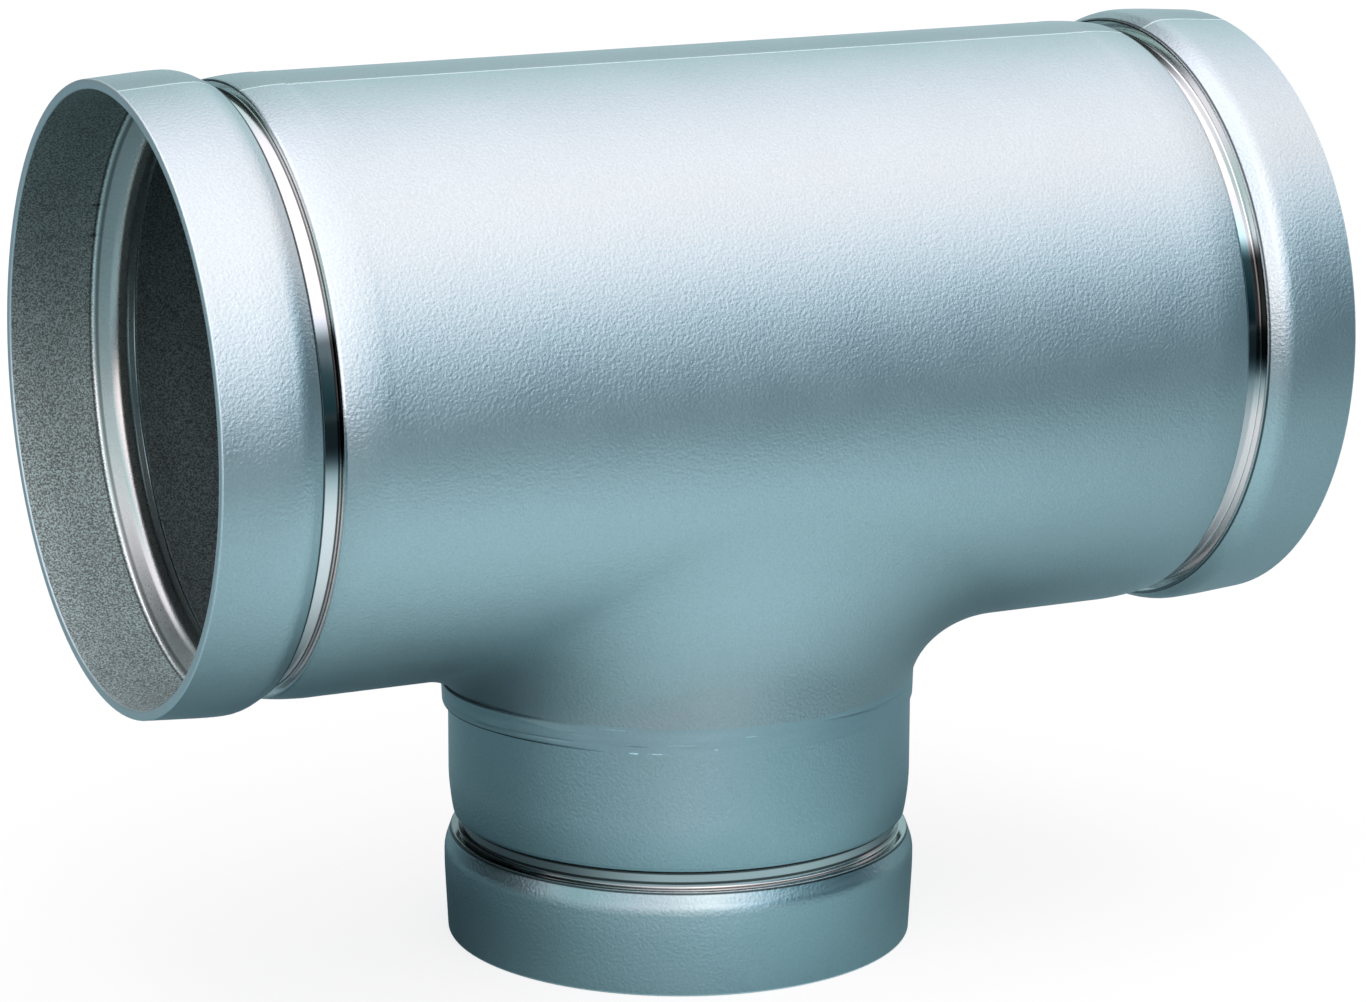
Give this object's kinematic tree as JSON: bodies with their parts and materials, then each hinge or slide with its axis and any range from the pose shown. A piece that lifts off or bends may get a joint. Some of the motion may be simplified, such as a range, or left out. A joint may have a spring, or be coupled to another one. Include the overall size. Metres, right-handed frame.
{
  "type": "grooved reducing tee",
  "caption": "Thin-wall stainless steel pipe tee with rolled-groove ends; a smaller branch nipple is welded under the drawn collar of a straight run.",
  "frame": {"origin": "centre of the branch's end face, which the tee stands on", "axes": "+X along the run, +Z from the branch's end up to the run, Y across the run"},
  "size_m": [0.2284, 0.1172, 0.1727],
  "materials": {
    "blasted_steel": "bead-blasted satin stainless steel, fine grain, with rolled grooves left bright",
    "ground_weld": "butt weld ground almost flush and blasted over, with faint grinding lines"
  },
  "bodies": {
    "root": {"tee_body": "blasted_steel", "branch_nipple": "blasted_steel", "branch_weld": "ground_weld"}
  },
  "joints": []
}
